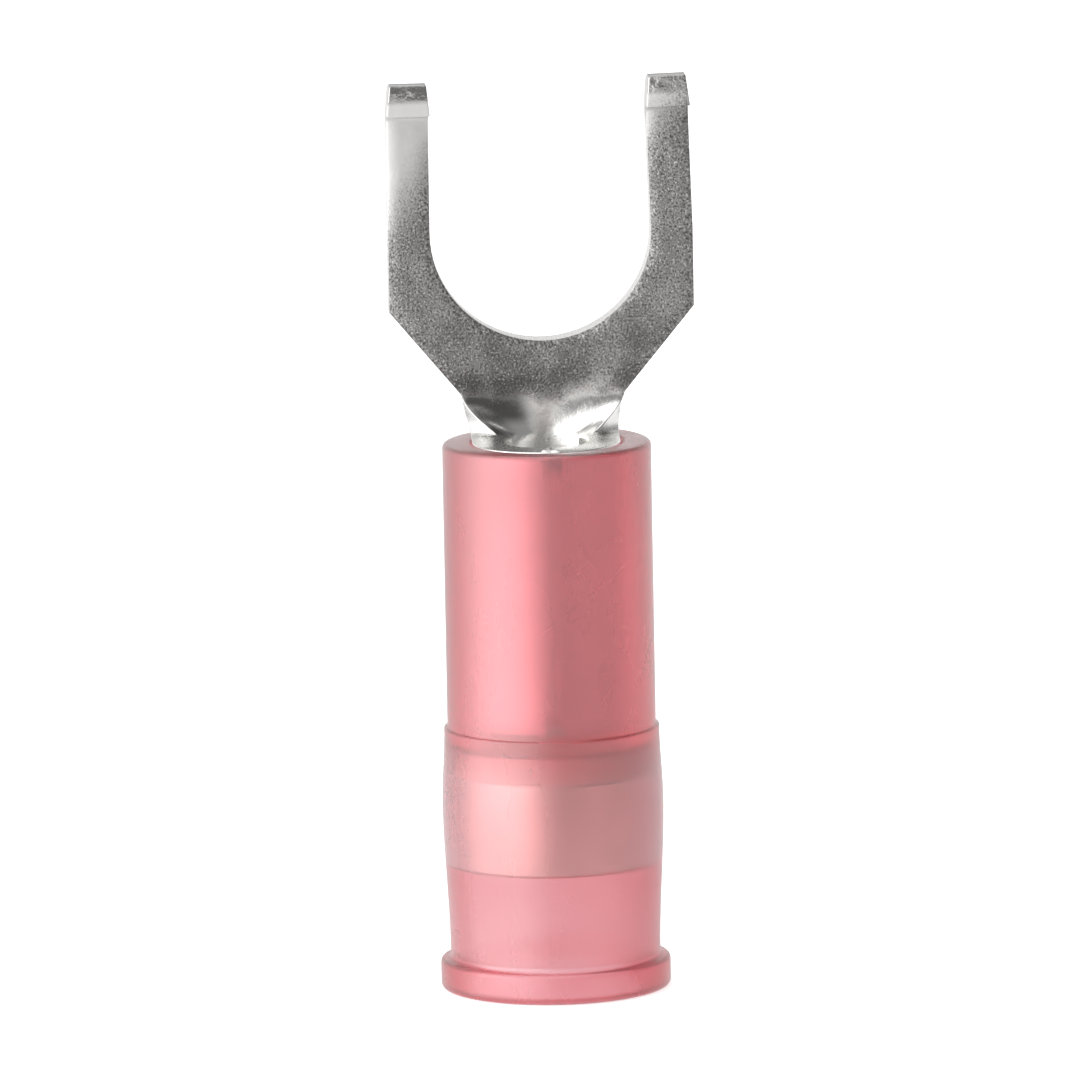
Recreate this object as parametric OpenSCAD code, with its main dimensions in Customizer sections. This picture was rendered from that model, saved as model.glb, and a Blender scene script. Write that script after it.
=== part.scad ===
// Flanged fork terminal with a nylon insulator, for 0.5 to 1.5 mm2 wire and an M5 stud.
// The origin is the centre of the wire end's face. +Z runs along the barrel to the fork tips,
// and -Y is the side that the barrel's seam and the turned-up tips are on.

/* [Sheet] */
// Thickness of the stamped sheet
sheet_t = 0.75; // [0.6:0.05:0.9]

/* [Tongue] */
// Width of the tongue across both tines
tongue_w = 7.2; // [6.8:0.02:8]
// Width of the stud slot
slot_w = 5.2; // [4.3:0.1:5.5]
// Length from the centre of the slot's round end to the outside of the tip, on the -X side
tine_l = 3.61; // [2.8:0.01:6]
// Sheet left between the neck and the bottom of the slot
web_l = 1.28; // [0.8:0.02:3]
// Height of the slanted flanks between the neck and the straight sides
flank_h = 2.02; // [1.2:0.02:2.6]
// How much longer the tine on the +X side is
right_extra_l = 0.1; // [0:0.01:0.3]
// Inward lean of the tine on the -X side, in degrees
left_lean_deg = 0.2; // [0:0.1:2]
// Inward lean of the tine on the +X side, in degrees
right_lean_deg = 1.5; // [0:0.1:2]

/* [Turned tips] */
// How far the tips stand out in front of the tongue
tip_reach = 0.65; // [0.4:0.05:1.2]
// Radius inside the bend of the tips
tip_bend_r = 0.18; // [0.1:0.02:0.3]
// Narrowing of the stretched outside of the bend, on each side
tip_draw_w = 0.055; // [0:0.005:0.08]
// Widening of the squeezed inside of the bend, on each side
tip_bulge_w = 0.02; // [0:0.005:0.08]

/* [Neck] */
// Width of the neck where it meets the tongue
neck_w = 3.85; // [3.6:0.05:4.4]
// Length of the neck between the insulator and the tongue
neck_l = 0.96; // [0.8:0.02:2.5]

/* [Wire barrel] */
// Bore for the bared wire
wire_bore_d = 2; // [1.6:0.05:2.3]
// Length of the closed barrel, whose mouth is level with the end of the insulator
barrel_l = 6.72; // [4.8:0.02:6.9]
// Width of the groove along the butted seam
seam_w = 0.2; // [0.1:0.02:0.3]
// Depth of the groove along the butted seam
seam_depth = 0.16; // [0.1:0.02:0.3]

/* [Support sleeve] */
// Bore for the wire with its insulation
sleeve_bore_d = 4.1; // [3.9:0.05:4.6]
// Wall of the sleeve
sleeve_wall = 0.22; // [0.15:0.01:0.3]
// Length of the sleeve's straight part
sleeve_l = 2.17; // [1.5:0.01:2.6]
// Gap between the sleeve's lip and the wire barrel
sleeve_gap = 0.49; // [0.1:0.01:0.8]
// Height of the tapered front lip
lip_h = 0.62; // [0.45:0.02:0.7]
// How far the lip tapers in
lip_taper = 0.2; // [0.1:0.01:0.3]

/* [Insulator] */
// Length of the insulator
insulator_l = 13; // [12.5:0.1:16]
// Wall round the wire barrel
front_wall = 0.69; // [0.5:0.01:0.9]
// How far behind the end of the wire barrel the shoulder lies
shoulder_gap = 0.04; // [0:0.01:0.3]
// Step in radius at the shoulder
shoulder_step = 0.08; // [0.05:0.01:0.2]
// Wall round the support sleeve, at the widest place
rear_wall = 0.32; // [0.25:0.01:0.5]
// Wall between the support sleeve and the flange, where the bore is level with the sleeve's
entry_wall = 0.43; // [0.3:0.01:0.6]
// Height of the flange at the wire end
flange_t = 0.72; // [0.4:0.02:1]
// How far the flange stands out from the tube
flange_reach = 0.235; // [0.1:0.005:0.6]
// Rounding of the moulded edges
edge_r = 0.12; // [0.06:0.01:0.16]

/* [Fits] */
// Gap between nested pieces, on the radius
clearance = 0.02; // [0.01:0.01:0.05]

/* [Hidden] */

// Roundness of turned shapes, and of the rounded edges
$fn = 96;
EDGE_STEPS = 6;
// Steps along and across the curling neck, and round the bend of a tip
NECK_ROWS = 14;
NECK_COLUMNS = 24;
BEND_STEPS = 8;
// How far up the sleeve's straight part the insulator is widest
BELLY = 0.65;
// Bend of the sheet, per mm, below which it counts as flat
FLAT = 0.0001;
// How deep lofted shapes run into their neighbours, and how much smaller they are there
ROOT = 0.08;
INSET = 0.005;
// How far a cut runs past what it cuts
PAST = 1;

// Barrel and neck: the tongue lies level with the back of the barrel
barrel_r = wire_bore_d / 2 + sheet_t;
face_y = wire_bore_d / 2;
back_y = barrel_r;
mid_y = face_y + sheet_t / 2;
roll_r = wire_bore_d / 2 + sheet_t / 2;
neck_z = insulator_l;
barrel_z = neck_z - barrel_l;
root_z = neck_z + neck_l;

// Tongue and slot
slot_r = slot_w / 2;
slot_z = root_z + web_l + slot_r;
tine_w = tongue_w / 2 - slot_r;
bend_l = tine_l - sheet_t - tip_bend_r;

// Support sleeve
sleeve_r = sleeve_bore_d / 2 + sleeve_wall;
lip_z = barrel_z - sleeve_gap - lip_h;
sleeve_z = lip_z - sleeve_l;
lip_deg = atan(lip_taper / lip_h);
// How far the inside of the lip's corner sets back, and how wide its wall is along the radius, for each mm of wall
lip_setback = tan(lip_deg / 2);
lip_across = 1 / cos(lip_deg);

// Insulator
front_bore_r = barrel_r + clearance;
front_r = front_bore_r + front_wall;
shoulder_r = front_r + shoulder_step;
shoulder_z = barrel_z - shoulder_gap;
pocket_r = sleeve_r + clearance;
pocket_top = lip_z + lip_h + clearance;
belly_r = pocket_r + rear_wall;
belly_z = sleeve_z + BELLY * sleeve_l;
entry_bore_r = sleeve_bore_d / 2;
entry_r = entry_bore_r + entry_wall;
flange_r = entry_r + flange_reach;

// Eases from 0 to 1 with no kink at either end
function ease(u) = u * u * (3 - 2 * u);

function mix(a, b, u) = a + (b - a) * u;

function arc(centre, r, from, to, steps = EDGE_STEPS) =
    [for (i = [0:steps]) let (a = mix(from, to, i / steps)) centre + r * [cos(a), sin(a)]];

// Solid skin over a row of rings of sheet, each one face's points and then the other's back again
module loft(rings) {
    count = len(rings[0]);
    last = len(rings) - 1;
    skin = [
        for (j = [0:last - 1], i = [0:count - 1]) let (k = (i + 1) % count)
            [j * count + i, j * count + k, (j + 1) * count + k, (j + 1) * count + i]
    ];
    far_end = [
        for (i = [0:count / 2 - 2])
            [for (k = [i, i + 1, count - 2 - i, count - 1 - i]) last * count + k]
    ];
    near_end = [for (i = [0:count / 2 - 2]) [count - 1 - i, count - 2 - i, i + 1, i]];
    polyhedron([for (ring = rings, p = ring) p], concat(near_end, skin, far_end));
}

// A point of the sheet at the given bend, `along` from its middle line and `out` from its mid surface
function bent(along, out, bend, z) =
    bend < FLAT
        ? [along, mid_y + out, z]
        : let (r = 1 / bend, a = along * bend * 180 / PI)
            [(r + out) * sin(a), mid_y - r + (r + out) * cos(a), z];

// Section of the neck, u = 0 at the barrel's mouth and u = 1 at the flat tongue. The sheet's bend fades
// out, and its edges are trimmed so that the neck widens evenly from the barrel to the tongue.
function neck_ring(u, z) =
    let (
        bend = (1 - u) * (1 - u) / roll_r,
        edge_x = mix(barrel_r, neck_w / 2, u),
        half = (bend < FLAT ? edge_x : asin(edge_x / (1 / bend + sheet_t / 2)) * PI / 180 / bend) - INSET,
        out = sheet_t / 2 - INSET,
        across = [for (i = [0:NECK_COLUMNS]) mix(-half, half, i / NECK_COLUMNS)]
    )
    concat(
        [for (a = across) bent(a, out, bend, z)],
        [for (i = [NECK_COLUMNS:-1:0]) bent(across[i], -out, bend, z)]
    );

// Curls from the flat tongue to the back half of the barrel's mouth
module neck() {
    loft(concat(
        [neck_ring(0, neck_z - ROOT)],
        [for (j = [0:NECK_ROWS]) neck_ring(j / NECK_ROWS, mix(neck_z, root_z, j / NECK_ROWS))],
        [neck_ring(1, root_z + ROOT)]
    ));
}

// Closed wire barrel with its seam groove
module barrel() {
    difference() {
        translate([0, 0, barrel_z]) cylinder(r = barrel_r, h = barrel_l);
        translate([0, 0, barrel_z - PAST]) cylinder(d = wire_bore_d, h = barrel_l + 2 * PAST);
        translate([0, -barrel_r, barrel_z - PAST])
            linear_extrude(barrel_l + 2 * PAST)
                polygon([[-seam_w, -seam_depth], [seam_w, -seam_depth], [0, seam_depth]]);
    }
}

// Flat sheet from an outline drawn in X and Z
module sheet() {
    translate([0, back_y, 0]) rotate([90, 0, 0]) linear_extrude(sheet_t) children();
}

// Flat of the tongue below the slot's centre
module web() {
    sheet() difference() {
        polygon([
            [neck_w / 2, root_z], [tongue_w / 2, root_z + flank_h], [tongue_w / 2, slot_z],
            [-tongue_w / 2, slot_z], [-tongue_w / 2, root_z + flank_h], [-neck_w / 2, root_z]
        ]);
        translate([0, slot_z]) circle(slot_r);
    }
}

// Section of a tip turned at a given height: squeezed on the inside of the bend, stretched on the outside
function tip_ring(turn, reach, bend_z) =
    let (
        grown = turn / 90,
        outer = tine_w / 2 - INSET - tip_draw_w * grown,
        inner = tine_w / 2 - INSET + tip_bulge_w * grown,
        at = function (x, r)
            [x, face_y - tip_bend_r + r * cos(turn) - reach, bend_z + r * sin(turn)]
    )
    [
        at(-outer, tip_bend_r + sheet_t - INSET), at(outer, tip_bend_r + sheet_t - INSET),
        at(inner, tip_bend_r + INSET), at(-inner, tip_bend_r + INSET)
    ];

function lowered(ring, by) = [for (p = ring) p - [0, 0, by]];

// One tine with its tip, about its own middle line
module upright_tine(extra) {
    bend_z = slot_z + bend_l + extra;
    sheet() translate([-tine_w / 2, slot_z - ROOT]) square([tine_w, bend_z - slot_z + ROOT]);
    loft(concat(
        [lowered(tip_ring(0, 0, bend_z), ROOT)],
        [for (i = [0:BEND_STEPS]) tip_ring(90 * i / BEND_STEPS, 0, bend_z)],
        [tip_ring(90, tip_reach - tip_bend_r, bend_z)]
    ));
}

// The tine on one side, side = -1 or 1, leaning in about its root
module tine(side, lean, extra) {
    translate([side * (slot_r + tine_w / 2), 0, slot_z])
        rotate([0, -side * lean, 0])
            translate([0, 0, -slot_z]) upright_tine(extra);
}

// Stamped and rolled from one sheet of tin plated copper
module fork_terminal() {
    color("gainsboro") union() {
        barrel();
        neck();
        web();
        tine(-1, left_lean_deg, 0);
        tine(1, right_lean_deg, right_extra_l);
    }
}

// Drawn metal tube whose front lip tapers in behind the end of the wire barrel
module support_sleeve() {
    lip_end = [sleeve_r - lip_taper, lip_z + lip_h];
    color("lightgray") rotate_extrude() polygon([
        [sleeve_bore_d / 2, sleeve_z], [sleeve_r, sleeve_z], [sleeve_r, lip_z],
        lip_end, lip_end - [sleeve_wall * lip_across, 0],
        [sleeve_bore_d / 2, lip_z - sleeve_wall * lip_setback]
    ]);
}

// Radius of the rear tube between two heights, swelling from one radius to another
function swell(r0, z0, r1, z1, steps = 10) =
    [for (i = [0:steps]) let (u = i / steps) [mix(r0, r1, ease(u)), mix(z0, z1, u)]];

// Moulded nylon, one wall all round
module insulator() {
    inside = concat(
        arc([entry_bore_r + edge_r, edge_r], edge_r, 270, 180),
        [
            [entry_bore_r, sleeve_z - clearance], [pocket_r, sleeve_z - clearance],
            [pocket_r, lip_z + clearance * lip_setback],
            [sleeve_r - lip_taper - clearance * tan(lip_deg) + clearance * lip_across, pocket_top],
            [front_bore_r, pocket_top]
        ],
        arc([front_bore_r + edge_r, insulator_l - edge_r], edge_r, 180, 90)
    );
    outside = concat(
        arc([front_r - edge_r, insulator_l - edge_r], edge_r, 90, 0),
        [[front_r, shoulder_z]],
        arc([shoulder_r - shoulder_step / 2, shoulder_z - shoulder_step / 2], shoulder_step / 2, 90, 0),
        swell(shoulder_r, shoulder_z - shoulder_step, belly_r, belly_z),
        swell(belly_r, belly_z, entry_r, flange_t + edge_r),
        arc([entry_r + edge_r, flange_t + edge_r], edge_r, 180, 270),
        arc([flange_r - edge_r, flange_t - edge_r], edge_r, 90, 0),
        arc([flange_r - edge_r, edge_r], edge_r, 0, -90)
    );
    color("lightpink") rotate_extrude() polygon(concat(inside, outside));
}

fork_terminal();
support_sleeve();
insulator();
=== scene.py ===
"""Dressed model of a nylon insulated fork terminal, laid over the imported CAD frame.

The stamped fork, the support sleeve and the moulded insulator are each made again with rounded edges
and a finished surface, in the place of the CAD node they stand for.
"""
import math
from types import SimpleNamespace

import bmesh
import bpy
from mathutils import Matrix, Vector


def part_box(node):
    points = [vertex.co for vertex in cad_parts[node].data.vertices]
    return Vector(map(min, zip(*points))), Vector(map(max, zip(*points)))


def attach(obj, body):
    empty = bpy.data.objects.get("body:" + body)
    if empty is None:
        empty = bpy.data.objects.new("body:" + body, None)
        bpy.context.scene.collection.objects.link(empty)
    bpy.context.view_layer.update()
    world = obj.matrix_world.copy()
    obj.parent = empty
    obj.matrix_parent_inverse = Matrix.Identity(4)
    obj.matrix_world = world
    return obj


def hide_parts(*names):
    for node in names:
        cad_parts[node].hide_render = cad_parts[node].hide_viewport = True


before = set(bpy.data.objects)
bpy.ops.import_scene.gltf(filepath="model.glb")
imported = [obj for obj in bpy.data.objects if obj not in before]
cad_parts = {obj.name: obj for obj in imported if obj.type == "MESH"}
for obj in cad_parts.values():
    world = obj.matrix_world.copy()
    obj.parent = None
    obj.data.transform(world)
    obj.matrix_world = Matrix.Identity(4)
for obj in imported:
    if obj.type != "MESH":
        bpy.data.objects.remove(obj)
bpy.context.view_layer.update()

bl_info = {
    "name": "Insulated fork terminal",
    "version": (1, 0, 0),
    "blender": (4, 5, 0),
    "location": "3D View > Sidebar > Terminal",
    "description": "Makes a flanged fork terminal with its nylon insulator, and a stage to show it on",
    "category": "Object",
}

BODY = "root"
MM = 0.001

FORK_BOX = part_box("fork_terminal")
SLEEVE_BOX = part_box("support_sleeve")
INSULATOR_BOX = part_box("insulator")
# Heights in mm that shapes and finishes are placed by
BARREL_END_Z = FORK_BOX[0].z / MM
FORK_TOP_Z = FORK_BOX[1].z / MM
SLEEVE_END_Z = SLEEVE_BOX[0].z / MM
SLEEVE_TOP_Z = SLEEVE_BOX[1].z / MM
MOUTH_Z = INSULATOR_BOX[1].z / MM

# Mesh fineness of the stamped sheet
ACROSS = 24
FLAP_STEPS = 12
BARREL_ROWS = 10
NECK_ROWS = 16
SIDE_STEPS = 6
FLANK_STEPS = 9
WEB_ROWS = 12
TINE_ROWS = 10
BEND_ROWS = 10
REACH_ROWS = 3
BEVEL_SEGMENTS = 4
SHARP_ANGLE = math.radians(40)
EVEN_WEIGHT = 60
# Bend of the sheet, per mm, below which it counts as flat
FLAT = 0.0001
# How much smaller the turned tips are than their nominal size, in mm, to stay within the CAD box
TIP_INSET = 0.006
# Half the gap left between the butted edges of the barrel, in mm
SEAM_HALF_GAP = 0.002

# Mesh fineness of the lathe pieces
TURN_SEGMENTS = 160
FILLET_STEPS = 5
SWELL_STEPS = 12
PATH_RADIUS = 1 * MM
MERGE_DISTANCE = 0.0004 * MM
# How far up the sleeve's straight part the insulator is widest
BELLY = 0.65


def length(name, description, default_mm):
    """A length that a user may change, given in mm and kept in metres."""
    return bpy.props.FloatProperty(
        name=name, description=description, default=default_mm * MM, min=0,
        subtype="DISTANCE", unit="LENGTH", precision=5,
    )


def angle(name, description, default_deg):
    """An angle that a user may change, given in degrees and kept in radians."""
    return bpy.props.FloatProperty(
        name=name, description=description, default=math.radians(default_deg),
        subtype="ANGLE", unit="ROTATION",
    )


def colour(name, description, default):
    """A linear colour that a user may change."""
    return bpy.props.FloatVectorProperty(
        name=name, description=description, default=default, size=3, min=0, max=1, subtype="COLOR",
    )


def share(name, description, default, highest=1.0):
    """A plain number from nothing upwards that a user may change."""
    return bpy.props.FloatProperty(
        name=name, description=description, default=default, min=0, max=highest, subtype="FACTOR",
    )


class ForkSizes(bpy.types.PropertyGroup):
    """Sizes of the stamped fork."""

    sheet_t: length("Sheet", "Thickness of the stamped sheet", 0.75)
    tongue_w: length("Tongue width", "Width across both tines", 7.2)
    slot_w: length("Slot width", "Width of the stud slot", 5.2)
    tine_l: length("Tine length", "From the centre of the slot's round end to the top of the left tip", 3.61)
    right_extra_l: length("Right tine extra", "How much longer the tine on the +X side is", 0.1)
    web_l: length("Web", "Sheet left between the neck and the bottom of the slot", 1.28)
    flank_h: length("Flank height", "Height of the slanted flanks below the straight sides", 2.02)
    left_lean: angle("Left lean", "Inward lean of the tine on the -X side", 0.2)
    right_lean: angle("Right lean", "Inward lean of the tine on the +X side", 1.5)
    tip_reach: length("Tip reach", "How far the turned tips stand out in front of the tongue", 0.65)
    tip_bend_r: length("Tip bend", "Radius inside the bend of the tips", 0.18)
    tip_draw_w: length("Tip draw", "Narrowing of the stretched outside of the bend, on each side", 0.055)
    tip_bulge_w: length("Tip bulge", "Widening of the squeezed inside of the bend, on each side", 0.02)
    neck_w: length("Neck width", "Width of the neck where it meets the tongue", 3.85)
    neck_l: length("Neck length", "Length of the neck between the insulator and the tongue", 0.96)
    wire_bore_d: length("Wire bore", "Bore for the bared wire", 2.0)
    barrel_l: length("Barrel length", "Length of the closed barrel, level with the insulator's end", 6.72)
    edge_round: length("Edge rounding", "Rounding of the sheared edges", 0.10)
    seam_round: length("Seam rounding", "Rounding of the butted edges outside the barrel", 0.012)
    roll_depth: length("Edge roll", "How far the die rolled the front face back at its edges", 0.05)
    roll_width: length("Edge roll width", "Width of the rolled strip along the edges", 0.32)
    left_twist: angle("Left twist", "Slight twist of the -X tine towards its outer side", 3.5)
    right_twist: angle("Right twist", "Slight twist of the +X tine", 0.5)
    tine_bow: length("Tine bow", "How far the tines bow forward below their tips", 0.05)


class SleeveSizes(bpy.types.PropertyGroup):
    """Sizes of the support sleeve inside the insulator."""

    bore_d: length("Bore", "Bore for the wire with its insulation", 4.1)
    wall: length("Wall", "Wall of the drawn tube", 0.22)
    straight_l: length("Straight length", "Length of the straight part", 2.17)
    lip_h: length("Lip", "Height of the tapered front lip", 0.62)
    lip_taper: length("Lip taper", "How far the lip tapers in", 0.2)
    crease_h: length("Crease height", "Height of the groove pressed in where the lip starts", 0.10)
    crease_depth: length("Crease depth", "Depth of the groove pressed in where the lip starts", 0.03)
    edge_round: length("Edge rounding", "Rounding of the cut edges", 0.04)


class InsulatorSizes(bpy.types.PropertyGroup):
    """Sizes of the moulded nylon insulator."""

    front_wall: length("Front wall", "Wall round the wire barrel", 0.69)
    shoulder_gap: length("Shoulder gap", "How far behind the end of the wire barrel the shoulder lies", 0.04)
    shoulder_step: length("Shoulder step", "Step in radius at the shoulder", 0.08)
    rear_wall: length("Rear wall", "Wall round the support sleeve at the widest place", 0.32)
    entry_wall: length("Entry wall", "Wall between the support sleeve and the flange", 0.43)
    flange_t: length("Flange height", "Height of the flange at the wire end", 0.72)
    edge_r: length("Edge rounding", "Rounding of the moulded edges", 0.12)
    inner_r: length("Inner rounding", "Rounding of the small steps in the bore", 0.03)
    clearance: length("Clearance", "Gap between nested pieces, on the radius", 0.02)


class Finishes(bpy.types.PropertyGroup):
    """Colours and surface of the metal and the nylon, with the painted light, shade and highlights on the
    metal.
    """

    # Also the painted highlight on the cut walls below the tips
    tin_bright_and_highlight: colour("Bright tin", "Tin plate where it was rolled and burnished", (0.86, 0.85, 0.83))
    # Also the painted shade on the upward facing tops of the turned tips
    tin_dull_and_shade: colour("Dull tin", "Tin plate on the flat of the tongue", (0.28, 0.275, 0.27))
    # Painted light: this colour paints the tin paler aslant towards the tips
    tin_painted_light: colour("Pale tin", "Matte tin plate near the tips", (0.63, 0.62, 0.61))
    # Also the painted shade on the neck's left wall
    tin_dark_and_shade: colour("Tin stain", "Pits and stains in the tin plate", (0.08, 0.077, 0.075))
    sleeve_light: colour("Sleeve metal", "Clean metal of the support sleeve", (0.80, 0.55, 0.49))
    sleeve_dark: colour("Sleeve stain", "Dull patches on the support sleeve", (0.70, 0.46, 0.41))
    # Painted light: the lip is painted light and pink for the light that reaches it through the nylon
    sleeve_lip_painted_light: colour("Sleeve lip", "Dull lip of the sleeve, pink from the nylon", (0.98, 0.58, 0.53))
    nylon_light: colour("Nylon", "Tint of the nylon", (0.955, 0.95, 0.95))
    nylon_deep: colour("Nylon streaks", "Slightly deeper flow streaks in the nylon", (0.94, 0.91, 0.92))
    nylon_thick: colour("Nylon, flange", "Tint of the nylon where it is thickest", (0.86, 0.63, 0.66))
    nylon_absorb: colour("Nylon depth tint", "White light's tint deep in the nylon", (0.968, 0.036, 0.155))
    nylon_density: bpy.props.FloatProperty(
        name="Nylon depth", description="How quickly the nylon colours light, per metre", default=1300, min=0,
    )
    nylon_clear: share("Nylon clearness", "Share of light that goes through it", 0.95)


class StageLook(bpy.types.PropertyGroup):
    """Floor, light and camera."""

    floor: colour("Floor", "Colour of the pale floor", (0.86, 0.86, 0.86))
    floor_glow: share("Floor lift", "How far the floor is lifted to white in the picture", 0.65)
    left_level: share("Bright side", "Light from the camera's left hand side", 3.0, 4.0)
    top_level: share("Overhead", "Light from above the object, on the left", 1.5, 4.0)
    near_level: share("Behind the lens", "Light from just right of the camera, below its height", 0.78, 2.0)
    right_level: share("Shaded side", "Light from far right of the camera, below its height", 1.22, 2.0)
    dark_level: share("Dark room", "Light from the right above the camera's height", 0.28)
    ceiling_level: share("Upper backdrop", "Light from behind the object, above the horizon", 0.5)
    softbox_power: bpy.props.FloatProperty(
        name="Softbox power", description="Power of the large lamp on the left",
        default=0.10, min=0, unit="POWER",
    )
    azimuth: angle("Azimuth", "Camera's turn round the object, towards +X", -3.0)
    elevation: angle("Elevation", "Camera's height above the horizon", 9.3)
    roll: angle("Roll", "Turn of the camera about its own axis", 1.05)
    distance: length("Distance", "Distance from the camera to the object", 353.0)
    lens: bpy.props.FloatProperty(name="Lens", description="Focal length in mm", default=500.0, min=1)


def mix(a, b, u):
    """A number between two others."""
    return a + (b - a) * u


def ease(u):
    """Goes from 0 to 1 with no kink at either end."""
    return u * u * (3 - 2 * u)


def in_mm(sizes):
    """The lengths of a property group in mm, and its angles in radians, as plain attributes."""
    values = {}
    for key in sizes.bl_rna.properties.keys():
        if key in ("rna_type", "name"):
            continue
        value = getattr(sizes, key)
        is_length = sizes.bl_rna.properties[key].unit == "LENGTH"
        values[key] = value / MM if is_length else value
    return SimpleNamespace(**values)


def new_object(name, mesh):
    obj = bpy.data.objects.new(name, mesh)
    bpy.context.scene.collection.objects.link(obj)
    return obj


def apply_modifiers(obj):
    """Keeps what an object's modifiers make of its mesh, and drops the modifiers."""
    depsgraph = bpy.context.evaluated_depsgraph_get()
    made = bpy.data.meshes.new_from_object(obj.evaluated_get(depsgraph))
    obj.modifiers.clear()
    obj.data = made


def seat(obj, node):
    """Puts a finished piece on its body, in the place of its CAD node."""
    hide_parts(node)
    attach(obj, BODY)


# Node building

def feed(tree, socket, value):
    """Links a socket to the one that feeds it, or sets its value."""
    if isinstance(value, bpy.types.NodeSocket):
        tree.links.new(value, socket)
    else:
        socket.default_value = value


def add(tree, kind, inputs=None, **settings):
    """A node with its settings and its inputs. An input is a value, or the socket that feeds it."""
    node = tree.nodes.new(kind)
    for key, value in settings.items():
        setattr(node, key, value)
    for key, value in (inputs or {}).items():
        feed(tree, node.inputs[key], value)
    return node


def mapped(tree, value, from_min, from_max, to_min=0.0, to_max=1.0, smooth=True):
    """Maps a value from one range to another, with soft ends."""
    node = add(
        tree, "ShaderNodeMapRange",
        {"Value": value, "From Min": from_min, "From Max": from_max, "To Min": to_min, "To Max": to_max},
        interpolation_type="SMOOTHSTEP" if smooth else "LINEAR",
    )
    return node.outputs["Result"]


def rise(tree, place, limits, high=1.0, low=0.0):
    """Rises softly as a place goes from the first limit to the second, both given in mm."""
    return mapped(tree, place, limits[0] * MM, limits[1] * MM, low, high)


def sums(tree, operation, a, b):
    """One step of arithmetic on two numbers."""
    return add(tree, "ShaderNodeMath", {0: a, 1: b}, operation=operation).outputs[0]


def times(tree, a, b):
    """One number times another."""
    return sums(tree, "MULTIPLY", a, b)


def scaled(tree, value, factor, plus):
    """A number times a factor, plus another number."""
    node = add(tree, "ShaderNodeMath", {0: value, 1: factor, 2: plus}, operation="MULTIPLY_ADD")
    return node.outputs[0]


def between(tree, factor, a, b):
    """A mix of two numbers."""
    node = add(tree, "ShaderNodeMix", {0: factor, 2: a, 3: b}, data_type="FLOAT")
    return node.outputs[0]


def blended(tree, factor, a, b):
    """A mix of two colours."""
    node = add(tree, "ShaderNodeMix", data_type="RGBA")
    sockets = {socket.identifier: socket for socket in node.inputs}
    feed(tree, sockets["Factor_Float"], factor)
    for identifier, value in (("A_Color", a), ("B_Color", b)):
        is_socket = isinstance(value, bpy.types.NodeSocket)
        feed(tree, sockets[identifier], value if is_socket else (*value, 1))
    return next(socket for socket in node.outputs if socket.identifier == "Result_Color")


def split(tree, vector):
    """The X, Y and Z of a vector."""
    return add(tree, "ShaderNodeSeparateXYZ", {"Vector": vector}).outputs


def noise(tree, vector, scale, detail, roughness=0.5):
    """Plain noise from 0 to 1."""
    node = add(tree, "ShaderNodeTexNoise", {
        "Vector": vector, "Scale": scale, "Detail": detail, "Roughness": roughness,
    })
    return node.outputs["Fac"]


def group_interface(tree, inputs, outputs):
    """Makes a node group's sockets: inputs are (name, type, default), outputs are (name, type)."""
    for name, kind, default in inputs:
        socket = tree.interface.new_socket(name, in_out="INPUT", socket_type=kind)
        if default is not None:
            socket.default_value = default
    for name, kind in outputs:
        tree.interface.new_socket(name, in_out="OUTPUT", socket_type=kind)
    return tree.nodes.new("NodeGroupInput").outputs, tree.nodes.new("NodeGroupOutput").inputs


# Limits of the noise that makes clouds and scratches
CLOUD_LIMITS = (0.36, 0.64)
SCRATCH_MIDDLE = 0.5
SCRATCH_WIDTH = 0.012
SCRATCH_GATE = (0.50, 0.62)
GATE_SCALE = 700.0
# Turn of each set of scratches about Y, in radians, and how far it is drawn out
SCRATCH_SETS = ((0.6, (0.06, 1.0, 1.0)), (-1.0, (0.05, 1.0, 1.0)))


def grain_group():
    """Fine grain, as plain noise, and broad clouds, as a mask from 0 to 1."""
    name = "Grain and clouds"
    if name in bpy.data.node_groups:
        return bpy.data.node_groups[name]
    tree = bpy.data.node_groups.new(name, "ShaderNodeTree")
    given, out = group_interface(
        tree,
        [
            ("Vector", "NodeSocketVector", None),
            ("Grain scale", "NodeSocketFloat", 14000.0),
            ("Cloud scale", "NodeSocketFloat", 900.0),
        ],
        [("Clouds", "NodeSocketFloat"), ("Grain", "NodeSocketFloat")],
    )
    grain = noise(tree, given["Vector"], given["Grain scale"], detail=3.0, roughness=0.65)
    clouds = noise(tree, given["Vector"], given["Cloud scale"], detail=4.0, roughness=0.55)
    feed(tree, out["Clouds"], mapped(tree, clouds, *CLOUD_LIMITS))
    feed(tree, out["Grain"], grain)
    return tree


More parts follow.
